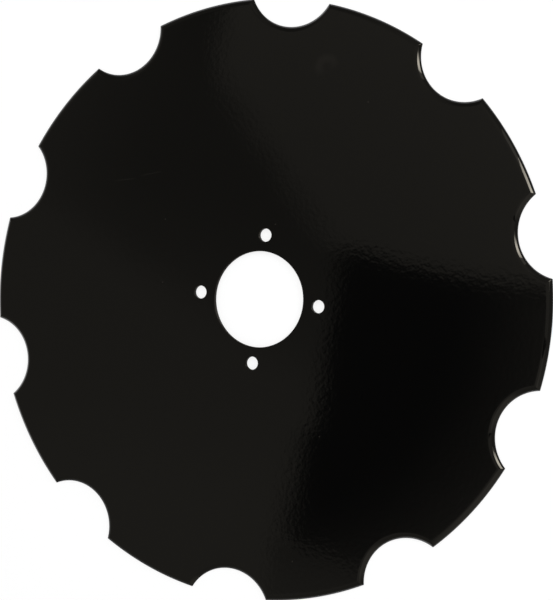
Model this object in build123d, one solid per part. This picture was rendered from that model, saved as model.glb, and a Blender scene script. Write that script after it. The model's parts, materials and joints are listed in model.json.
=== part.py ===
"""Notched coulter disc for a plough: one flat steel plate with a bevelled, notched cutting edge.

The plate lies flat, as it comes to rest on a floor. The origin is the centre of the bore on the
flat underside, +Z points up through the bevelled face, +Y runs through the middle of a notch and
+X through the middle of the land between two notches. All sizes are millimetres.

The rim is turned down to a blunt cutting edge at the underside, and each notch is cut with a
flared cutter, so that the same bevel follows the lands and the notches and is mitred at every
tooth tip.
"""

import os

from build123d import *

# Plate and cutting edge
disc_diameter = 500.0
plate_thickness = 4.0
bevel_width = 4.5  # measured flat, from the cutting edge inwards
edge_height = 0.8  # blunt cutting edge left standing under the bevel

# Notches, round and evenly spaced
notch_count = 10
notch_radius = 38.0
notch_depth = 23.3  # from the rim to the bottom of the notch
first_notch_angle = 90.0  # degrees from +X

# Hub fixing: the hub's spigot goes through the bore, and its bolts through the small holes
bore_diameter = 80.0
bolt_count = 4
bolt_circle_diameter = 107.0
bolt_hole_diameter = 11.0
first_bolt_angle = 0.0  # degrees from +X, in the middle of a land
hole_edge_break = 0.4  # deburred corner of the bore and the bolt holes, on both faces

# How far a cutter stands past each face of the plate
cutter_overrun = 2.0

disc_radius = disc_diameter / 2
bevel_drop = plate_thickness - edge_height
notch_centre_radius = disc_radius - notch_depth + notch_radius


def turned(*outline):
    """Turn a closed outline of (radius, height) points about Z."""
    return revolve(Plane.XZ * make_face(Polyline(*outline, close=True)), Axis.Z)


def round_blank():
    """Plain disc with its upper rim turned down to the cutting edge."""
    return turned(
        (0, 0),
        (disc_radius, 0),
        (disc_radius, edge_height),
        (disc_radius - bevel_width, plate_thickness),
        (0, plate_thickness),
    )


def notch_cutter():
    """Straight cutter as high as the cutting edge, flared above it to leave the bevel."""
    flare = bevel_width * (bevel_drop + cutter_overrun) / bevel_drop
    top = plate_thickness + cutter_overrun
    return turned(
        (0, -cutter_overrun),
        (notch_radius, -cutter_overrun),
        (notch_radius, edge_height),
        (notch_radius + flare, top),
        (0, top),
    )


def hole_cutter(diameter):
    """Straight hole with a small 45 degree edge break at each face."""
    radius = diameter / 2
    top = plate_thickness
    return turned(
        (0, -cutter_overrun),
        (radius + hole_edge_break + cutter_overrun, -cutter_overrun),
        (radius, hole_edge_break),
        (radius, top - hole_edge_break),
        (radius + hole_edge_break + cutter_overrun, top + cutter_overrun),
        (0, top + cutter_overrun),
    )


def coulter_disc():
    """The whole plate, with its notches, bore and bolt holes cut."""
    notches = PolarLocations(notch_centre_radius, notch_count, start_angle=first_notch_angle)
    bolts = PolarLocations(bolt_circle_diameter / 2, bolt_count, start_angle=first_bolt_angle)
    disc = round_blank() - notches * notch_cutter()
    disc -= hole_cutter(bore_diameter)
    disc -= bolts * hole_cutter(bolt_hole_diameter)
    return disc


os.makedirs("parts", exist_ok=True)
export_step(coulter_disc(), "parts/coulter_disc.step")
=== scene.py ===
"""Studio picture of a notched coulter disc, an enamelled steel plate with a bevelled cutting edge.

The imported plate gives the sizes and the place. This file makes its finished surface: the same
plate with the soft corners that paint leaves, a crowned bevel along the rim and the notches, and
a black gloss enamel with orange peel, dust and light handling marks, which is thin and dull
inside the holes. Everything is in metres.
"""

import json
import logging
import math
from dataclasses import dataclass
from enum import IntEnum
from typing import Any

import bmesh
import bpy
import numpy as np
from bpy.types import Material, Node, NodeSocket, NodeTree, Object
from mathutils import Matrix, Vector

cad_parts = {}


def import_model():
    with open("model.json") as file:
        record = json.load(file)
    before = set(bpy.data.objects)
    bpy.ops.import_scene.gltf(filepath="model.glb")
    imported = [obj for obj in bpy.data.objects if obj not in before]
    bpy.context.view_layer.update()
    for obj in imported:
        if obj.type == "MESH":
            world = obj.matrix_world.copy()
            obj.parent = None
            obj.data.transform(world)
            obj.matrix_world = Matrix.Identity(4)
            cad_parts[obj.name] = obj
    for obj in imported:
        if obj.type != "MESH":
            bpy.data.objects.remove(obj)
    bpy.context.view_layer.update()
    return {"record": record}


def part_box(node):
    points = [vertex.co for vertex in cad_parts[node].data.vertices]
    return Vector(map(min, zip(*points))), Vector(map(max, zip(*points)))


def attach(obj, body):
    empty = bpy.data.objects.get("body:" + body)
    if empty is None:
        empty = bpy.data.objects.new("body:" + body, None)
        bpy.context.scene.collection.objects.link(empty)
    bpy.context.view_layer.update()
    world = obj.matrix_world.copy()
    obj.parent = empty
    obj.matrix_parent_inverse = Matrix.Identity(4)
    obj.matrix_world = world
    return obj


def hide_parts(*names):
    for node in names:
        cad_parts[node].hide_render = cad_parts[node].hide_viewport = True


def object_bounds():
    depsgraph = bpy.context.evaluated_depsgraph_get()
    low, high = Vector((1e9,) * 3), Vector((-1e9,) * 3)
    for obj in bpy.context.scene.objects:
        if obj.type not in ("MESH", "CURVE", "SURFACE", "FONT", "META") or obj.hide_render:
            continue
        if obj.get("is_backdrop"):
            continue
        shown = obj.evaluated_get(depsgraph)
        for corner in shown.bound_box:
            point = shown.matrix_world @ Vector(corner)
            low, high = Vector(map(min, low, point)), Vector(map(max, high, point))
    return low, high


LOG = logging.getLogger("coulter_disc")
MM = 0.001
WHITE = (1.0, 1.0, 1.0, 1.0)
COLOUR_A, COLOUR_B = 6, 7  # a mix node's colour inputs, which share their names with others
UP = (0.0, 0.0, 1.0)
Source = Node | NodeSocket  # what feeds an input; a node feeds it from its first output in use
Number = Source | float


def linear(colour: str) -> tuple[float, float, float, float]:
    """Turn an sRGB hex colour into linear red, green, blue and a full alpha.

    Args:
        colour: Six hex digits, such as "1a1816".

    Returns:
        The colour as four linear values.
    """
    values = (int(colour[i : i + 2], 16) / 255 for i in (0, 2, 4))
    parts = [v / 12.92 if v <= 0.04045 else ((v + 0.055) / 1.055) ** 2.4 for v in values]
    return (parts[0], parts[1], parts[2], 1.0)


def add_node(
    tree: NodeTree, kind: str, links: dict[int | str, Any] | None = None, **settings: Any
) -> Node:
    """Add one node to a tree, with its settings and its inputs.

    Args:
        tree: The node tree.
        kind: The node's type, such as "ShaderNodeMath".
        links: Input name or number to either a constant or the source that feeds it.
        **settings: Attributes of the node.

    Returns:
        The new node.
    """
    node = tree.nodes.new(kind)
    for name, value in settings.items():
        setattr(node, name, value)
    for key, given in (links or {}).items():
        value = given
        if isinstance(given, Node):
            value = next(output for output in given.outputs if output.enabled)
        if isinstance(value, NodeSocket):
            tree.links.new(value, node.inputs[key])
        else:
            node.inputs[key].default_value = value
    return node


def new_tree(name: str) -> tuple[Material, NodeTree]:
    """Make an empty node material.

    Args:
        name: The material's name.

    Returns:
        The material and its cleared node tree.
    """
    material = bpy.data.materials.new(name)
    material.use_nodes = True
    material.node_tree.nodes.clear()
    return material, material.node_tree


def rounded_section(corners: list[complex], radii: list[float], steps: int) -> np.ndarray:
    """Draw a section line through its corners, with each inner corner rounded.

    At a corner the line turns by an angle from one side to the next. The round starts
    radius * tan(turn / 2) before the corner, its centre is one radius to the side that the line
    turns to, and its points are the start swung about the centre by even shares of the turn.

    Args:
        corners: Section corners, as inset plus height times the imaginary unit.
        radii: Radius of the round at each inner corner.
        steps: Points on each round.

    Returns:
        The section's points, from the first corner to the last.
    """
    line = np.asarray(corners)
    sides = np.diff(line)
    ways = sides / np.abs(sides)
    before, after = ways[:-1, None], ways[1:, None]
    radius = np.asarray(radii)[:, None]
    turn = np.angle(after / before)
    start = line[1:-1, None] - before * radius * np.tan(np.abs(turn) / 2)
    centre = start + 1j * before * np.sign(turn) * radius
    rounds = centre + (start - centre) * np.exp(1j * turn * np.linspace(0, 1, steps))
    return np.concatenate([line[:1], rounds.ravel(), line[-1:]])


def blend_rows(first: np.ndarray, last: np.ndarray, rows: int) -> np.ndarray:
    """Lay rows of points evenly between two lines: first * (1 - t) + last * t for t from 0 to 1.

    Args:
        first: Points of the first row.
        last: Points of the last row, as many.
        rows: Number of rows, the two given ones included.

    Returns:
        The points, one row of the array for each row.
    """
    share = np.linspace(0, 1, rows)[:, None]
    return first * (1 - share) + last * share


class Coat(IntEnum):
    """Coats of paint on the plate, in the order of its materials."""

    GLOSS = 0
    THIN = 1


class Skin:
    """Closed skin of a solid, put together from grids of points.

    In each grid the rows run over the solid as its section does, up a hole's wall, out along the
    top, down over the edge and back along the underside, and the columns run anticlockwise seen
    from above. Faces then point outwards.
    """

    def __init__(self) -> None:
        """Start with no points and no faces."""
        self.points: list[np.ndarray] = []
        self.faces: list[np.ndarray] = []
        self.coats: list[np.ndarray] = []
        self.count = 0

    def add_grid(
        self,
        plan: np.ndarray,
        height: np.ndarray,
        coats: np.ndarray | None = None,
        closed: bool = True,
    ) -> None:
        """Add a grid of quads.

        Args:
            plan: Plan position of each point, x plus y times the imaginary unit.
            height: Height of each row.
            coats: Coat of paint between each row and the next, or None for gloss all over.
            closed: True if the last column is followed by the first.
        """
        rows, columns = plan.shape
        heights = np.broadcast_to(height[:, None], plan.shape)
        place = np.stack([plan.real, plan.imag, heights], axis=-1)
        index = self.count + np.arange(rows * columns).reshape(rows, columns)
        index = np.append(index, index[:, :1], axis=1) if closed else index
        quads = np.stack([index[:-1, :-1], index[1:, :-1], index[1:, 1:], index[:-1, 1:]], axis=-1)
        coats = np.full(rows - 1, Coat.GLOSS) if coats is None else coats
        self.points.append(place.reshape(-1, 3))
        self.faces.append(quads.reshape(-1, 4))
        self.coats.append(np.repeat(coats, quads.shape[1]))
        self.count += rows * columns

    def build(self, name: str, weld: float) -> Object:
        """Make the object, with the seams between its grids welded.

        Args:
            name: The object's name.
            weld: Distance under which points are one point.

        Returns:
            The new object, at the origin.
        """
        mesh = bpy.data.meshes.new(name)
        mesh.from_pydata(np.concatenate(self.points), [], np.concatenate(self.faces))
        mesh.polygons.foreach_set("material_index", np.concatenate(self.coats).astype(np.int32))
        shape = bmesh.new()
        shape.from_mesh(mesh)
        bmesh.ops.remove_doubles(shape, verts=shape.verts, dist=weld)
        shape.to_mesh(mesh)
        shape.free()
        mesh.shade_smooth()
        made = bpy.data.objects.new(name, mesh)
        bpy.context.scene.collection.objects.link(made)
        return made


def soft_step(tree: NodeTree, value: Number, low: float, high: float, top: float = 1.0) -> Node:
    """Rise smoothly from zero at a low value to a top at a high value.

    Args:
        tree: The node tree.
        value: The value.
        low: Value at which the rise starts.
        high: Value at which it ends. If that is under the low one, the step is a fall.
        top: What it rises to.

    Returns:
        Node of the result.
    """
    return add_node(
        tree,
        "ShaderNodeMapRange",
        {"Value": value, "From Min": low, "From Max": high, "To Max": top},
        interpolation_type="SMOOTHSTEP",
    )


def in_plan(tree: NodeTree, place: Source) -> Node:
    """Node of a place without its height."""
    links = {0: place, 1: (1.0, 1.0, 0.0)}
    return add_node(tree, "ShaderNodeVectorMath", links, operation="MULTIPLY")


def heading(azimuth: float) -> tuple[float, float, float]:
    """Level unit vector at an azimuth, which is in degrees from +X."""
    return (math.cos(math.radians(azimuth)), math.sin(math.radians(azimuth)), 0.0)


def laid_over(tree: NodeTree, below: Number, above: Number, mask: Number) -> Node:
    """Lay one value over another where a mask says: below * (1 - mask) + above * mask.

    Args:
        tree: The node tree.
        below: The value below.
        above: The value above.
        mask: The mask, from 0 to 1.

    Returns:
        Node of the result.
    """
    return add_node(tree, "ShaderNodeMapRange", {"Value": mask, "To Min": below, "To Max": above})


@dataclass(frozen=True)
class Relief:
    """Unevenness of a surface: a noise of one cell size, and how high it stands."""

    cell: float
    height: float
    detail: float = 0.0  # finer layers of the noise on top of its first

    def tilt(self, tree: NodeTree, place: Source, normal: Source | None = None) -> Node:
        """Tilt the surface by this unevenness.

        Args:
            tree: The node tree.
            place: The point's place.
            normal: The surface's direction before, or None for that of the mesh.

        Returns:
            Node of its direction after.
        """
        noise = add_node(
            tree,
            "ShaderNodeTexNoise",
            {"Vector": place, "Scale": 1 / self.cell, "Detail": self.detail},
        )
        links = {"Height": noise.outputs["Fac"], "Distance": self.height}
        if normal is not None:
            links["Normal"] = normal
        return add_node(tree, "ShaderNodeBump", links)


@dataclass(frozen=True)
class Dust:
    """Grains of dust: small dots about the seeds of some of the cells of a pattern.

    A cell's random colour, read as one number, says whether it holds a grain.
    """

    spacing: float
    radius: float
    share: float  # share of the cells that hold a grain
    cover: float

    def covering(self, tree: NodeTree, place: Source) -> Node:
        """Share of the paint that the grains cover at a point.

        Args:
            tree: The node tree.
            place: The point's place.

        Returns:
            Node of the cover.
        """
        cells = add_node(
            tree,
            "ShaderNodeTexVoronoi",
            {"Vector": place, "Scale": 1 / self.spacing},
            voronoi_dimensions="2D",
        ).outputs
        rim = self.radius / self.spacing
        grain = soft_step(tree, cells["Distance"], rim, rim / 2, self.cover)
        links = {0: cells["Color"], 1: self.share}
        chosen = add_node(tree, "ShaderNodeMath", links, operation="LESS_THAN")
        return add_node(tree, "ShaderNodeMath", {0: grain, 1: chosen}, operation="MULTIPLY")


@dataclass(frozen=True)
class Smudge:
    """Smudge of a finger: one side of a soft ring."""

    middle: tuple[float, float, float]
    radius: float
    width: float
    side: float  # azimuth of the side that shows, in degrees from +X
    cover: float

    def covering(self, tree: NodeTree, place: Source) -> Node:
        """Share of the paint that the smudge covers at a point.

        Args:
            tree: The node tree.
            place: The point's place.

        Returns:
            Node of the cover.
        """
        links = {0: in_plan(tree, place), 1: self.middle}
        away = add_node(tree, "ShaderNodeVectorMath", links, operation="SUBTRACT")
        reach = add_node(tree, "ShaderNodeVectorMath", {0: away}, operation="LENGTH")
        past = add_node(tree, "ShaderNodeMath", {0: reach, 1: self.radius}, operation="SUBTRACT")
        off_ring = add_node(tree, "ShaderNodeMath", {0: past}, operation="ABSOLUTE")
        ring = soft_step(tree, off_ring, self.width, 0.0, self.cover)
        links = {0: away, 1: heading(self.side)}
        along = add_node(tree, "ShaderNodeVectorMath", links, operation="DOT_PRODUCT")
        part = soft_step(tree, along, -self.radius, self.radius / 2)
        return add_node(tree, "ShaderNodeMath", {0: ring, 1: part}, operation="MULTIPLY")


@dataclass(frozen=True)
class Scratch:
    """Fine straight scratch, from one point of the face to another."""

    start: tuple[float, float, float]
    end: tuple[float, float, float]
    width: float = 0.7 * MM
    cover: float = 0.07

    def covering(self, tree: NodeTree, place: Source) -> Node:
        """Share of the paint that the scratch covers at a point.

        It is the product of two soft steps: one of the distance to the scratch's line, and one of
        the distance along it from its middle, which fades the outer half of each arm.

        Args:
            tree: The node tree.
            place: The point's place.

        Returns:
            Node of the cover.
        """
        start, end = Vector(self.start), Vector(self.end)
        middle, arm = (start + end) / 2, (end - start).length / 2
        way = (end - start).normalized()
        across = Vector((-way.y, way.x, 0.0))
        cover: Number = self.cover
        for axis, far, near in ((across, self.width, 0.0), (way, arm, arm / 2)):
            links = {0: place, 1: axis}
            along = add_node(tree, "ShaderNodeVectorMath", links, operation="DOT_PRODUCT")
            links = {0: along, 1: middle.dot(axis)}
            past = add_node(tree, "ShaderNodeMath", links, operation="SUBTRACT")
            off = add_node(tree, "ShaderNodeMath", {0: past}, operation="ABSOLUTE")
            links = {0: cover, 1: soft_step(tree, off, far, near)}
            cover = add_node(tree, "ShaderNodeMath", links, operation="MULTIPLY")
        return cover


@dataclass(frozen=True)
class BlackEnamel:
    """Black gloss alkyd enamel, sprayed on steel and stoved.

    The eye sees a near-black ground under a clear, mirror-like surface, whose low orange peel
    makes the edges of reflections waver. The plate under it isn't quite flat either. A few grains
    of dust, a finger's smudge and two fine scratches lie on it.
    """

    ground: str = "050505"
    roughness: float = 0.04
    ior: float = 1.5
    specular: float = 0.5
    unevenness: tuple[Relief, ...] = (
        Relief(cell=45.0 * MM, height=0.05 * MM),
        Relief(cell=4.0 * MM, height=0.018 * MM, detail=1.0),
    )
    mark_colour: str = "4a4640"
    marks: tuple[Dust | Smudge | Scratch, ...] = (
        Dust(spacing=55.0 * MM, radius=0.7 * MM, share=0.2, cover=0.25),
        Smudge(
            middle=(39.0 * MM, 196.0 * MM, 0.0),
            radius=7.0 * MM,
            width=6.0 * MM,
            side=120.0,
            cover=0.05,
        ),
        Scratch(start=(-148.0 * MM, 85.0 * MM, 0.0), end=(-123.0 * MM, 90.0 * MM, 0.0)),
        Scratch(start=(-121.0 * MM, 92.0 * MM, 0.0), end=(-100.0 * MM, 98.0 * MM, 0.0)),
    )

    def build(self) -> Material:
        """Make the material.

        Returns:
            The enamel, with its pattern on object coordinates.
        """
        material, tree = new_tree("black_gloss_enamel")
        place = add_node(tree, "ShaderNodeTexCoord").outputs["Object"]
        normal = None
        for relief in self.unevenness:
            normal = relief.tilt(tree, place, normal)
        cover: Number = 0.0
        for mark in self.marks:
            links = {0: cover, 1: mark.covering(tree, place)}
            cover = add_node(tree, "ShaderNodeMath", links, operation="ADD")
        colour = add_node(
            tree,
            "ShaderNodeMix",
            {"Factor": cover, COLOUR_A: linear(self.ground), COLOUR_B: linear(self.mark_colour)},
            data_type="RGBA",
        )
        enamel = add_node(
            tree,
            "ShaderNodeBsdfPrincipled",
            {
                "Base Color": colour,
                "Roughness": self.roughness,
                "IOR": self.ior,
                "Specular IOR Level": self.specular,
                "Normal": normal,
            },
        )
        add_node(tree, "ShaderNodeOutputMaterial", {"Surface": enamel})
        return material


@dataclass(frozen=True)
class ThinEnamel:
    """The same enamel inside the holes, where little of the spray got to.

    The eye sees a thin, dull, brownish film over the dark scale of the steel.
    """

    ground: str = "15110b"
    roughness: float = 0.5
    ior: float = 1.5
    specular: float = 0.12

    def build(self) -> Material:
        """Make the material.

        Returns:
            The film, plain all over.
        """
        material, tree = new_tree("thin_black_enamel")
        film = add_node(
            tree,
            "ShaderNodeBsdfPrincipled",
            {
                "Base Color": linear(self.ground),
                "Roughness": self.roughness,
                "IOR": self.ior,
                "Specular IOR Level": self.specular,
            },
        )
        add_node(tree, "ShaderNodeOutputMaterial", {"Surface": film})
        return material


@dataclass
class CoulterDisc:
    """The plate's finished surface, with its notches, bevel, bore and bolt holes."""

    radius: float
    thickness: float
    bore_radius: float
    bolt_circle_radius: float
    bolt_hole_radius: float
    bolt_count: int
    notch_count: int = 10
    notch_radius: float = 38.0 * MM
    notch_depth: float = 23.3 * MM
    bevel_width: float = 4.5 * MM
    edge_height: float = 0.8 * MM
    crown: float = 18.0  # degrees that the bevel's slope changes by, each way from its middle
    crown_radius: float = 7.8 * MM
    shoulder_round: float = 1.5 * MM
    edge_round: float = 0.3 * MM
    tip_round: float = 0.5 * MM
    hole_break: float = 0.4 * MM
    hole_round: float = 0.25 * MM
    flat_step: float = 0.2 * MM
    hub_zone_radius: float = 67.0 * MM
    notch_steps: int = 56
    tip_steps: int = 6
    land_steps: int = 20
    round_steps: int = 11
    hole_steps: int = 4
    zone_rows: int = 4
    weld: float = 0.002 * MM

    @property
    def columns(self) -> int:
        """Points along the whole outline."""
        return self.notch_count * (self.notch_steps + self.land_steps + 2 * self.tip_steps)

    def outline(self, inset: np.ndarray) -> np.ndarray:
        """Plan outline of the plate, drawn in by each of several insets.

        Each share of it is four arcs in turn: the notch, whose radius grows by the inset; a small
        round at the tooth's tip, tangent to its neighbours; the land, whose radius shrinks by the
        inset; and the next tip's round. A tip's round has its centre where a circle about the
        axis, of the land's radius less the round, meets a circle about the notch's middle, of the
        notch's radius plus the round. The cosine rule gives the angle to it from both middles.

        Args:
            inset: How far each line lies inside the cutting edge.

        Returns:
            Points as complex numbers, a row for each inset, anticlockwise from a notch's start.
        """
        inset = inset[:, None, None]
        pitch = 2 * np.pi / self.notch_count
        notch = (np.arange(self.notch_count) * pitch - pitch / 2)[None, :, None]
        middle = self.radius - self.notch_depth + self.notch_radius
        to_axis = self.radius - inset - self.tip_round
        to_notch = self.notch_radius + inset + self.tip_round
        polar = np.arccos((to_axis**2 + middle**2 - to_notch**2) / (2 * to_axis * middle))
        swing = np.arccos((to_notch**2 + middle**2 - to_axis**2) / (2 * to_notch * middle))
        along_notch, along_tip, along_land = (
            np.arange(steps) / steps
            for steps in (self.notch_steps, self.tip_steps, self.land_steps)
        )
        bottom = middle * np.exp(1j * notch) - (self.notch_radius + inset) * np.exp(
            1j * (notch + swing * (1 - 2 * along_notch))
        )
        leaving = to_axis * np.exp(1j * (notch + polar)) + self.tip_round * np.exp(
            1j * (notch - swing + (swing + polar) * along_tip)
        )
        land = (self.radius - inset) * np.exp(
            1j * (notch + polar + (pitch - 2 * polar) * along_land)
        )
        entering = to_axis * np.exp(1j * (notch + pitch - polar)) + self.tip_round * np.exp(
            1j * (notch + pitch - polar + (swing + polar) * along_tip)
        )
        return np.concatenate([bottom, leaving, land, entering], axis=2).reshape(inset.size, -1)

    def full_ring(self) -> np.ndarray:
        """Evenly spread directions, each close to that of the same point of the outline.

        Returns:
            Unit vectors as complex numbers. The one in the middle of the first land is along +X.
        """
        land_middle = self.notch_steps + self.tip_steps + self.land_steps // 2
        return np.exp(2j * np.pi * (np.arange(self.columns) - land_middle) / self.columns)

    def edge_section(self) -> np.ndarray:
        """Section over the cutting edge, from the upper face to the underside.

        The bevel bulges: its middle corner stands off the straight line by half the line times
        the tangent of the crown, and a large round through that corner leaves a crowned slope.

        Returns:
            Inset from the cutting edge plus height times the imaginary unit.
        """
        shoulder = self.bevel_width + 1j * self.thickness
        lip = 1j * self.edge_height
        half = (lip - shoulder) / 2
        bulge = (shoulder + lip) / 2 - 1j * half * math.tan(math.radians(self.crown))
        flat = self.bevel_width + self.shoulder_round + self.flat_step
        return rounded_section(
            [flat + 1j * self.thickness, shoulder, bulge, lip, 0, self.edge_round + self.flat_step],
            [self.shoulder_round, self.crown_radius, self.edge_round, self.edge_round],
            self.round_steps,
        )

    def hole_section(self) -> np.ndarray:
        """Section up a hole's wall, from the underside to the upper face, with softened breaks.

        Returns:
            Distance outside the hole's radius plus height times the imaginary unit.
        """
        top = 1j * self.thickness
        flat = self.hole_break + self.hole_round + self.flat_step
        corners = [
            flat,
            self.hole_break,
            1j * self.hole_break,
            top - 1j * self.hole_break,
            top + self.hole_break,
            top + flat,
        ]
        return rounded_section(corners, [self.hole_round] * (len(corners) - 2), self.hole_steps)

    def hole_coats(self, hole: np.ndarray) -> np.ndarray:
        """Coats of paint up a hole's section: the thin one on its wall and its two breaks.

        Those lie between the section's first round and its last.

        Args:
            hole: Section up the hole's wall.

        Returns:
            Coat between each point of the section and the next.
        """
        strip = np.arange(hole.size - 1)
        thin = (strip >= self.hole_steps) & (strip < strip.size - self.hole_steps)
        return np.where(thin, Coat.THIN, Coat.GLOSS)

    def hub_sector(self, first: int, last: int) -> np.ndarray:
        """Directions across a sector of the hub zone, on the full ring's angles.

        Args:
            first: The sector's first point, counted from the one on +X.
            last: Its last point.

        Returns:
            Unit vectors as complex numbers.
        """
        return np.exp(2j * np.pi * np.arange(first, last + 1) / self.columns)

    def hole_border(self, span: np.ndarray, inner: float) -> np.ndarray:
        """Border of the patch of plate that surrounds one bolt hole.

        The border runs along the hub zone's rim, in along a radius, back along the bore's edge
        and out along the other radius.

        Args:
            span: Directions across the patch's sector.
            inner: Radius of the bore's edge on this face.

        Returns:
            The border's points, anticlockwise.
        """
        side = np.linspace(self.hub_zone_radius, inner, self.zone_rows)
        return np.concatenate(
            [
                self.hub_zone_radius * span[:-1],
                side[:-1] * span[-1],
                inner * span[:0:-1],
                side[:0:-1] * span[0],
            ]
        )

    def add_hub_zone(self, skin: Skin, hole: np.ndarray) -> None:
        """Add the zone round the bore: a patch round each bolt hole, and plain sectors between.

        Args:
            skin: The skin that takes the grids.
            hole: Section up a hole's wall.
        """
        inner = self.bore_radius + hole.real[0]
        coats = self.hole_coats(hole)
        pitch = self.columns // self.bolt_count
        reach = pitch // 3  # columns each way from a hole to the sides of its patch
        upper, lower = np.full(self.zone_rows, self.thickness), np.zeros(self.zone_rows)
        for number in range(self.bolt_count):
            middle = self.bolt_circle_radius * np.exp(2j * np.pi * number / self.bolt_count)
            start = number * pitch
            border = self.hole_border(self.hub_sector(start - reach, start + reach), inner)
            way = (border - middle) / np.abs(border - middle)
            wall = middle + (self.bolt_hole_radius + hole.real)[:, None] * way
            skin.add_grid(wall, hole.imag, coats)
            skin.add_grid(blend_rows(wall[-1], border, self.zone_rows), upper)
            skin.add_grid(blend_rows(border, wall[0], self.zone_rows), lower)
            plain = self.hub_sector(start + reach, start + pitch - reach)
            sector = blend_rows(inner * plain, self.hub_zone_radius * plain, self.zone_rows)
            skin.add_grid(sector, upper, closed=False)
            skin.add_grid(sector[::-1], lower, closed=False)

    def build(self, finishes: dict[Coat, BlackEnamel | ThinEnamel]) -> Object:
        """Make the plate's surface and dress it.

        Args:
            finishes: The finish of each coat.

        Returns:
            The finished piece.
        """
        skin = Skin()
        edge, hole = self.edge_section(), self.hole_section()
        ring = self.full_ring()
        outlines = self.outline(edge.real)
        skin.add_grid(outlines, edge.imag)
        hub_rim = self.hub_zone_radius * ring
        rows = self.zone_rows
        skin.add_grid(blend_rows(hub_rim, outlines[0], rows), np.full(rows, self.thickness))
        skin.add_grid(blend_rows(outlines[-1], hub_rim, rows), np.zeros(rows))
        bore = (self.bore_radius + hole.real)[:, None] * ring
        skin.add_grid(bore, hole.imag, self.hole_coats(hole))
        self.add_hub_zone(skin, hole)
        piece = skin.build("enamelled_disc", self.weld)
        for coat in Coat:
            piece.data.materials.append(finishes[coat].build())
        return piece


@dataclass(frozen=True)
class Viewpoint:
    """The camera, which looks down on the lying disc from the angle that the photograph has."""

    focal_length: float = 117.2
    sensor: float = 36.0
    lean: float = 22.93  # degrees from straight down
    azimuth: float = 6.23  # degrees from +X to the side that the camera leans to
    turn: float = 0.33  # degrees of roll in the picture's own plane
    aim: tuple[float, float, float] = (14.71 * MM, 1.06 * MM, 0.0)
    distance: float = 1619.9 * MM

    def rotation(self) -> Matrix:
        """Turn of the camera: the roll, then the lean, then the azimuth."""
        return (
            Matrix.Rotation(math.radians(self.azimuth), 3, "Z")
            @ Matrix.Rotation(math.radians(self.lean), 3, "Y")
            @ Matrix.Rotation(math.radians(self.turn), 3, "Z")
        )

    def place(self) -> Vector:
        """Where the camera stands: its distance back from the point that it aims at."""
        return Vector(self.aim) + self.rotation() @ Vector((0, 0, self.distance))

    def build(self) -> None:
        """Make the camera and give it to the scene."""
        data = bpy.data.cameras.new("photo_camera")
        data.lens = self.focal_length
        data.sensor_width = self.sensor
        camera = bpy.data.objects.new("photo_camera", data)
        camera.matrix_world = Matrix.Translation(self.place()) @ self.rotation().to_4x4()
        bpy.context.scene.collection.objects.link(camera)
        bpy.context.scene.camera = camera


@dataclass(frozen=True)
class Border:
    """Soft border between two parts of the ceiling.

    It is given on the disc's face, where the camera sees it mirrored. Points count as inside where
    their distance is past the offset, over a soft width.
    """

    direction: float | None  # square to the border, in degrees from +X; None is straight outwards
    offset: float
    soft: float

    def past(self, tree: NodeTree, place: Source) -> Node:
        """Soft step from zero before the border to one past it.

        Args:
            tree: The node tree.
            place: The point's place on the disc's face.

        Returns:
            Node of the step.
        """
        if self.direction is None:
            distance = add_node(tree, "ShaderNodeVectorMath", {0: place}, operation="LENGTH")
        else:
            links = {0: place, 1: heading(self.direction)}
            distance = add_node(tree, "ShaderNodeVectorMath", links, operation="DOT_PRODUCT")
        half = self.soft / 2
        return soft_step(tree, distance, self.offset - half, self.offset + half)


@dataclass(frozen=True)
class CeilingPart:
    """Part of the ceiling, whose level goes from one value to another across a soft step."""

    borders: tuple[Border, ...]
    step: Border
    levels: tuple[float, float]

    def lay(self, tree: NodeTree, place: Source, below: Number) -> Node:
        """Lay this part over those below it, where a point is past all of its borders.

        Args:
            tree: The node tree.
            place: The point's place on the disc's face.
            below: Level of the parts below.

        Returns:
            Node of the level with this part.
        """
        level = laid_over(tree, *self.levels, self.step.past(tree, place))
        mask: Number = 1.0
        for border in self.borders:
            links = {0: mask, 1: border.past(tree, place)}
            mask = add_node(tree, "ShaderNodeMath", links, operation="MULTIPLY")
        return laid_over(tree, below, level, mask)


@dataclass(frozen=True)
class Bay:
    """Sector of the room that is brighter or dimmer than the rest, most of all in its middle."""

    azimuth: float
    half_width: float
    change: float


@dataclass(frozen=True)
class SoftBox:
    """Soft box beside the disc: a bright cloth, whose glow rises from its dim line to its hot one.

    Both lines are upright, and each is given as a share of the cloth's half width, from -1 on its
    first side to 1 on its last. A dim line may lie off the cloth.
    """

    name: str
    middle: tuple[float, float, float]
    azimuth: float  # of the way that its back looks, in degrees from +X
    tilt: float  # degrees that its back looks up
    width: float
    height: float
    light: float  # level of the lamp in it, or 0 for none
    least_level: float
    hot_level: float = 0.0
    dim_line: float = -1.0
    hot_line: float = 0.0

    def place(self) -> Matrix:
        """Where it stands: local X runs along its width and local Z is its back."""
        up = math.radians(self.tilt)
        back = Vector(heading(self.azimuth)) * math.cos(up) + Vector(UP) * math.sin(up)
        return Matrix.Translation(self.middle) @ back.to_track_quat("Z", "Y").to_matrix().to_4x4()

    def add_lamp(self) -> None:
        """Hang the lamp, which only lights. A lamp of level L and area A gives pi * L * A watts."""
        data = bpy.data.lights.new(self.name, "AREA")
        data.shape = "RECTANGLE"
        data.size, data.size_y = self.width, self.height
        data.energy = self.light * math.pi * self.width * self.height
        lamp = bpy.data.objects.new(self.name, data)
        lamp.matrix_world = self.place()
        lamp.visible_camera = False
        lamp.visible_glossy = False
        bpy.context.scene.collection.objects.link(lamp)


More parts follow.
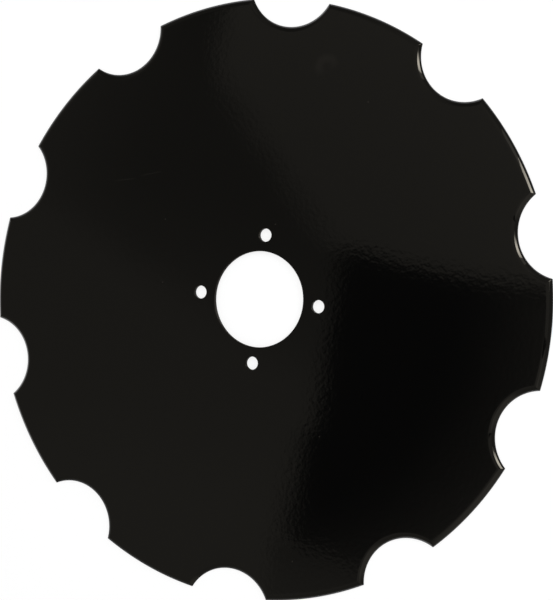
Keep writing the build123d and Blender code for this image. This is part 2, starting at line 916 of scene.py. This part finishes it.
# Parts of the ceiling. Each is laid over those that stand before it in the studio's list.
OPEN_CEILING = CeilingPart(
    borders=(),
    step=Border(-90.0, 134.0 * MM, 145.0 * MM),
    levels=(0.198, 0.227),
)
BEAM = CeilingPart(
    borders=(
        Border(64.5, -35.0 * MM, 50.0 * MM),
        Border(77.0, -14.0 * MM, 230.0 * MM),
        Border(-17.0, -225.0 * MM, 215.0 * MM),
    ),
    step=Border(41.5, 125.0 * MM, 160.0 * MM),
    levels=(0.106, 0.034),
)
LIT_CEILING = CeilingPart(
    borders=(
        Border(-2.2, -68.4 * MM, 30.0 * MM),
        Border(42.1, 77.0 * MM, 36.0 * MM),
        Border(86.3, 51.5 * MM, 20.0 * MM),
    ),
    step=Border(None, 236.0 * MM, 250.0 * MM),
    levels=(0.211, 0.28),
)
HOOD_SHADE = CeilingPart(
    borders=(
        Border(0.0, 34.0 * MM, 18.0 * MM),
        Border(-90.0, 195.0 * MM, 14.0 * MM),
        Border(90.0, -242.0 * MM, 12.0 * MM),
    ),
    step=Border(-85.0, 220.0 * MM, 28.0 * MM),
    levels=(0.136, 0.174),
)
HOOD_FOOT = Border(78.4, -178.2 * MM, 10.0 * MM)
HOOD_STEP = Border(None, 280.0 * MM, 240.0 * MM)
HOOD_LEVELS = (0.012, 0.31)
HOOD_SHOULDER = CeilingPart(
    borders=(
        Border(-4.8, 62.4 * MM, 36.0 * MM),
        Border(-90.0, 100.0 * MM, 12.0 * MM),
        HOOD_FOOT,
    ),
    step=HOOD_STEP,
    levels=HOOD_LEVELS,
)
HOOD = CeilingPart(
    borders=(
        Border(-2.9, 67.0 * MM, 24.0 * MM),
        Border(-97.5, -57.4 * MM, 15.0 * MM),
        HOOD_FOOT,
    ),
    step=HOOD_STEP,
    levels=HOOD_LEVELS,
)

SIDE_BOX = SoftBox(
    name="side_box",
    middle=(1.33, 0.735, 0.84),
    azimuth=45.7,
    tilt=33.0,
    width=0.73,
    height=0.68,
    light=5.5,
    least_level=2.0,
    hot_level=10.5,
    dim_line=-1.45,
    hot_line=0.15,
)
SIDE_FRAME = SoftBox(
    name="side_frame",
    middle=(1.32, 0.77, 0.851),
    azimuth=45.7,
    tilt=33.0,
    width=1.15,
    height=0.76,
    light=0.0,
    least_level=0.7,
)
TOP_BOX = SoftBox(
    name="top_box",
    middle=(-0.3, 1.8, 2.6),
    azimuth=100.0,
    tilt=55.0,
    width=1.6,
    height=1.6,
    light=1.5,
    least_level=0.2,
)


def backdrop_mask(tree: NodeTree) -> Node:
    """One for what the camera sees, straight or in metal and glass, and zero for light.

    Args:
        tree: The node tree that needs the mask.

    Returns:
        Node of the mask.
    """
    path = add_node(tree, "ShaderNodeLightPath").outputs
    links = {0: path["Is Camera Ray"], 1: path["Is Glossy Ray"]}
    seen = add_node(tree, "ShaderNodeMath", links, operation="MAXIMUM")
    links = {0: seen, 1: path["Is Transmission Ray"]}
    return add_node(tree, "ShaderNodeMath", links, operation="MAXIMUM")


def bay_level(tree: NodeTree, bays: tuple[Bay, ...]) -> Number:
    """Level that some bays add or take, by azimuth.

    A point's facing is the cosine of its azimuth from the bay's middle, and the bay's share is a
    soft step of the facing, from the cosine of the half width to one.

    Args:
        tree: The node tree.
        bays: The bays.

    Returns:
        The level.
    """
    place = add_node(tree, "ShaderNodeTexCoord").outputs["Object"]
    plan = in_plan(tree, place)
    way = add_node(tree, "ShaderNodeVectorMath", {0: plan}, operation="NORMALIZE")
    level: Number = 0.0
    for bay in bays:
        links = {0: way, 1: heading(bay.azimuth)}
        facing = add_node(tree, "ShaderNodeVectorMath", links, operation="DOT_PRODUCT")
        edge = math.cos(math.radians(bay.half_width))
        links = {0: level, 1: soft_step(tree, facing, edge, 1.0, bay.change)}
        level = add_node(tree, "ShaderNodeMath", links, operation="ADD")
    return level


def stage_piece(name: str, points: np.ndarray, faces: np.ndarray) -> Object:
    """Make a piece of the stage.

    Args:
        name: The piece's name.
        points: Its corners.
        faces: Its faces, anticlockwise seen from the side they face.

    Returns:
        The stage piece, at the origin.
    """
    mesh = bpy.data.meshes.new(name)
    mesh.from_pydata(points, [], faces)
    made = bpy.data.objects.new(name, mesh)
    bpy.context.scene.collection.objects.link(made)
    made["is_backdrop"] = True
    return made


def stage_sheet(
    name: str, width: float, length: float, height: float, down: bool = False
) -> Object:
    """Make a flat rectangular piece of the stage, with its middle over the origin.

    Args:
        name: The piece's name.
        width: Its size along X.
        length: Its size along Y.
        height: Its height above the origin.
        down: True if it faces down.

    Returns:
        The stage piece, at the origin.
    """
    across, along = width / 2, length / 2
    corners = ((-across, -along), (across, -along), (across, along), (-across, along))
    points = np.array([(*corner, height) for corner in corners])
    order = np.arange(len(corners))
    return stage_piece(name, points, (order[::-1] if down else order)[None])


@dataclass
class Studio:
    """Pale floor, plain soft light and the dim room that shows in the gloss.

    The room is a round wall and a ceiling that only the gloss sees, so they neither light the
    disc nor stand before the background. Levels are radiances, where white paper is 1.
    """

    eye: Vector
    face_height: float
    daylight: float = 0.7
    floor_size: float = 30.0
    floor_level: float = -0.02 * MM  # just clear of the plate's underside
    floor_albedo: float = 0.95
    background_share: float = 0.75
    background_glow: float = 1.06  # over 1, since the lit share of the floor falls short of white
    # painted shade: two sectors of the floor that the gloss sees dimmer than the camera does
    floor_painted_shades: tuple[Bay, ...] = (
        Bay(azimuth=250.0, half_width=42.0, change=-0.9),
        Bay(azimuth=138.0, half_width=45.0, change=-0.6),
    )
    room_radius: float = 5.0
    room_height: float = 4.0
    room_tint: str = "fff7e5"
    room_bays: tuple[Bay, ...] = (
        Bay(azimuth=-40.0, half_width=38.0, change=0.26),
        Bay(azimuth=118.0, half_width=30.0, change=-0.08),
    )
    wall_steps: int = 96
    wall_level: float = 0.19
    bay_reach: tuple[float, float] = (2.4, 3.6)  # from where to where bays fade in over the ceiling
    ceiling_parts: tuple[CeilingPart, ...] = (
        OPEN_CEILING,
        BEAM,
        LIT_CEILING,
        HOOD_SHADE,
        HOOD_SHOULDER,
        HOOD,
    )
    boxes: tuple[SoftBox, ...] = (SIDE_BOX, SIDE_FRAME, TOP_BOX)

    def world(self) -> None:
        """Light the scene evenly, in front of a white background."""
        world = bpy.data.worlds.new("studio")
        world.use_nodes = True
        tree = world.node_tree
        tree.nodes.clear()
        strength = laid_over(tree, self.daylight, 1.0, backdrop_mask(tree))
        sky = add_node(tree, "ShaderNodeBackground", {"Color": WHITE, "Strength": strength})
        add_node(tree, "ShaderNodeOutputWorld", {"Surface": sky})
        bpy.context.scene.world = world

    def floor(self) -> None:
        """Lay the pale floor. It takes the disc's shadow, and from below it isn't seen."""
        sheet = stage_sheet("floor", self.floor_size, self.floor_size, self.floor_level)
        material, tree = new_tree("pale_floor")
        albedo = self.floor_albedo
        lit = add_node(tree, "ShaderNodeBsdfDiffuse", {"Color": (albedo, albedo, albedo, 1.0)})
        mirrored = add_node(tree, "ShaderNodeLightPath").outputs["Is Glossy Ray"]
        # painted shade: the floor is dimmed in those sectors only where the gloss sees it
        links = {0: bay_level(tree, self.floor_painted_shades), 1: mirrored}
        shade = add_node(tree, "ShaderNodeMath", links, operation="MULTIPLY")
        links = {0: shade, 1: self.background_glow}
        strength = add_node(tree, "ShaderNodeMath", links, operation="ADD")
        glow = add_node(tree, "ShaderNodeEmission", {"Strength": strength})
        links = {0: backdrop_mask(tree), 1: self.background_share}
        share = add_node(tree, "ShaderNodeMath", links, operation="MULTIPLY")
        upper = add_node(tree, "ShaderNodeMixShader", {0: share, 1: lit, 2: glow})
        below = add_node(tree, "ShaderNodeNewGeometry").outputs["Backfacing"]
        clear = add_node(tree, "ShaderNodeBsdfTransparent")
        both = add_node(tree, "ShaderNodeMixShader", {0: below, 1: upper, 2: clear})
        add_node(tree, "ShaderNodeOutputMaterial", {"Surface": both})
        sheet.data.materials.append(material)

    def show_in_gloss(self, piece: Object, material: Material, level: Number) -> None:
        """Give a piece of the room its glow, and let only the gloss see it.

        Args:
            piece: The piece.
            material: Its material, which so far has the nodes of its level.
            level: Its level.
        """
        tree = material.node_tree
        tint = linear(self.room_tint)
        glow = add_node(tree, "ShaderNodeEmission", {"Color": tint, "Strength": level})
        add_node(tree, "ShaderNodeOutputMaterial", {"Surface": glow})
        piece.data.materials.append(material)
        piece.visible_camera = False
        piece.visible_diffuse = False
        piece.visible_shadow = False

    def ceiling(self) -> None:
        """Hang the dim ceiling that the disc's face mirrors, with its lit part, beam and hood.

        A ray from the camera that the face mirrors at P meets the ceiling at
        Q = C + (P - C) * s, with C the camera's plan position and s the whole drop over the drop
        to the face. The mapping is that formula turned round, so the borders are those that show.
        """
        width, height = 2 * self.room_radius, self.room_height
        sheet = stage_sheet("ceiling", width, width, height, down=True)
        spread = (height + self.eye.z - 2 * self.face_height) / (self.eye.z - self.face_height)
        shift = 1 - 1 / spread
        material, tree = new_tree("dim_ceiling")
        here = add_node(tree, "ShaderNodeTexCoord").outputs["Object"]
        place = add_node(
            tree,
            "ShaderNodeMapping",
            {
                "Vector": here,
                "Scale": (1 / spread, 1 / spread, 0.0),
                "Location": (self.eye.x * shift, self.eye.y * shift, 0.0),
            },
        )
        level: Number = 0.0
        for part in self.ceiling_parts:
            level = part.lay(tree, place, level)
        reach = (math.hypot(height, out) for out in self.bay_reach)
        away = add_node(tree, "ShaderNodeVectorMath", {0: here}, operation="LENGTH")
        links = {0: bay_level(tree, self.room_bays), 1: soft_step(tree, away, *reach)}
        bays = add_node(tree, "ShaderNodeMath", links, operation="MULTIPLY")
        level = add_node(tree, "ShaderNodeMath", {0: level, 1: bays}, operation="ADD")
        self.show_in_gloss(sheet, material, level)

    def wall(self) -> None:
        """Stand the round wall, with its bays."""
        here = np.arange(self.wall_steps)
        after = np.roll(here, -1)
        way = self.room_radius * np.exp(2j * np.pi * here / self.wall_steps)
        heights = (self.floor_level, self.room_height)
        rows = [np.stack([way.real, way.imag, np.full(way.size, z)], axis=-1) for z in heights]
        faces = np.stack([after, here, here + self.wall_steps, after + self.wall_steps], axis=-1)
        ring = stage_piece("wall", np.concatenate(rows), faces)
        material, tree = new_tree("dim_wall")
        links = {0: bay_level(tree, self.room_bays), 1: self.wall_level}
        level = add_node(tree, "ShaderNodeMath", links, operation="ADD")
        self.show_in_gloss(ring, material, level)

    def cloth(self, box: SoftBox) -> None:
        """Hang the cloth of a soft box, which only the gloss sees.

        Its level rises from nothing at the dim line to the hot line, and falls again to half of
        that on the last side, both by soft steps, but it is never under the least level.

        Args:
            box: The soft box.
        """
        cloth = stage_sheet(f"{box.name}_cloth", box.width, box.height, 0.0)
        cloth.matrix_world = box.place()
        material, tree = new_tree(f"{box.name}_cloth")
        here = add_node(tree, "ShaderNodeTexCoord").outputs["Object"]
        across = add_node(tree, "ShaderNodeSeparateXYZ", {0: here}).outputs["X"]
        side = box.width / 2
        hot = box.hot_line * side
        rise = soft_step(tree, across, box.dim_line * side, hot, box.hot_level)
        fall = soft_step(tree, across, hot, 2 * side - hot, box.hot_level)
        level = add_node(tree, "ShaderNodeMath", {0: rise, 1: fall}, operation="SUBTRACT")
        links = {0: level, 1: box.least_level}
        level = add_node(tree, "ShaderNodeMath", links, operation="MAXIMUM")
        self.show_in_gloss(cloth, material, level)

    def build(self) -> None:
        """Set up the whole studio."""
        self.world()
        self.floor()
        self.ceiling()
        self.wall()
        for box in self.boxes:
            self.cloth(box)
            if box.light:
                box.add_lamp()


def find_mount(record: dict[str, Any], name: str) -> dict[str, Any]:
    """Look up one of the plate's mounts.

    Args:
        record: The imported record.
        name: The mount's name.

    Returns:
        The mount's dimensions, with its lengths in millimetres.
    """
    return next(mount["dims"] for mount in record["mounts"] if mount["name"] == name)


def main() -> None:
    """Load the plate, make its finished surface and the studio round it, and report."""
    logging.basicConfig(level=logging.INFO, format="%(name)s: %(message)s")
    scene = bpy.context.scene
    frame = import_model()
    low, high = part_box("coulter_disc")
    bore = find_mount(frame["record"], "bore")
    bolts = find_mount(frame["record"], "hub_bolts")
    disc = CoulterDisc(
        radius=(high[0] - low[0]) / 2,
        thickness=high[2] - low[2],
        bore_radius=bore["r_mm"] * MM,
        bolt_circle_radius=bolts["pcd_mm"] / 2 * MM,
        bolt_hole_radius=bolts["hole_r_mm"] * MM,
        bolt_count=bolts["count"],
    )
    piece = disc.build({Coat.GLOSS: BlackEnamel(), Coat.THIN: ThinEnamel()})
    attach(piece, "root")
    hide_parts("coulter_disc")
    LOG.info("%s: %d faces", piece.name, len(piece.data.polygons))
    view = Viewpoint()
    view.build()
    Studio(view.place(), disc.thickness).build()
    scene.view_settings.view_transform = "Standard"
    low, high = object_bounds()


if __name__ == "__main__":
    main()
